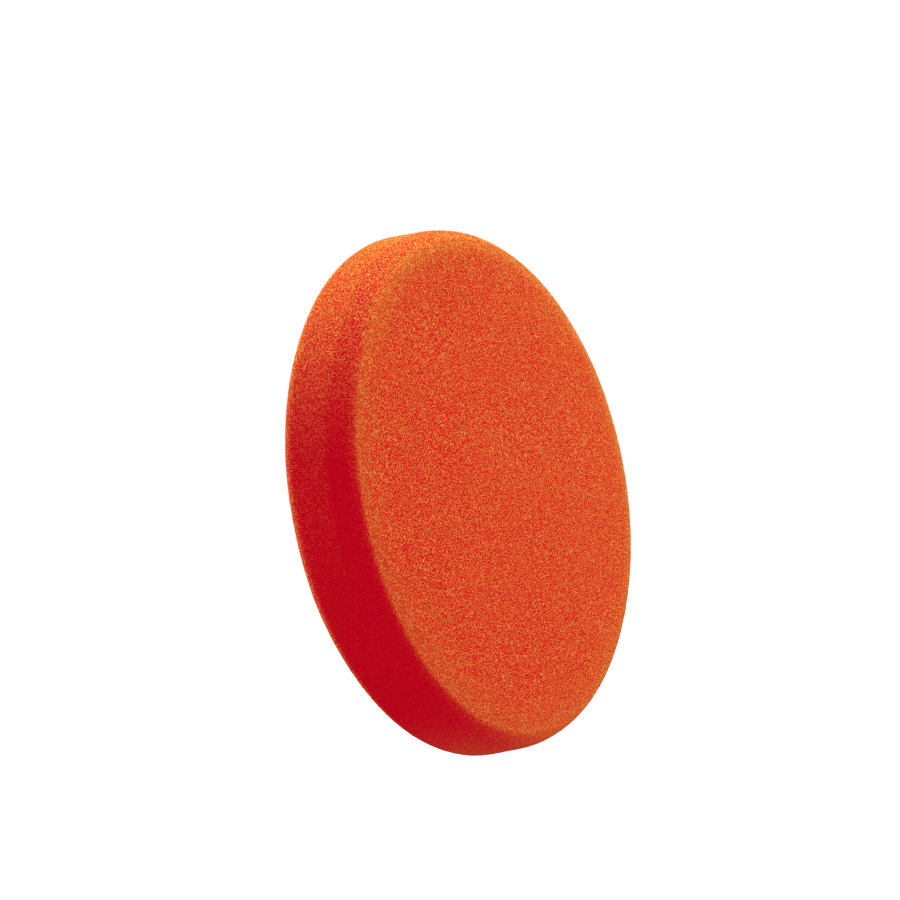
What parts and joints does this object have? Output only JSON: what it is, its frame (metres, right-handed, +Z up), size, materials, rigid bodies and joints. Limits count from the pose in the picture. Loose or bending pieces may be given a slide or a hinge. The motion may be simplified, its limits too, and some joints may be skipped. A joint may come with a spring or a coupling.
{
  "type": "polishing pad",
  "caption": "Round foam polishing pad with a flat working face, a rounded shoulder and a hook-and-loop backing for a machine polisher.",
  "frame": {"origin": "centre of the loop face, on the spin axis, where the machine's hook plate grips the pad", "axes": "Y is the spin axis: the loop face looks along +Y and the working face along -Y; +Z is up, with the pad upright like a wheel"},
  "size_m": [0.16, 0.0245, 0.16],
  "materials": {
    "polishing_foam": "matte",
    "hot_melt_film": "satin",
    "loop_ground": "matte",
    "loop_yarn": "satin"
  },
  "bodies": {
    "backing": {"adhesive_film": "hot_melt_film", "loop_cloth_ground": "loop_ground", "loop_pile": "loop_yarn"},
    "foam": {"foam_disc": "polishing_foam"}
  },
  "joints": [
    {"name": "foam_press", "type": "slide", "parent": "backing", "child": "foam", "axis": [0, 1, 0], "range_m": [0, 0.01], "stiffness_N_per_m": 12000, "deforming": ["foam_disc"]}
  ]
}
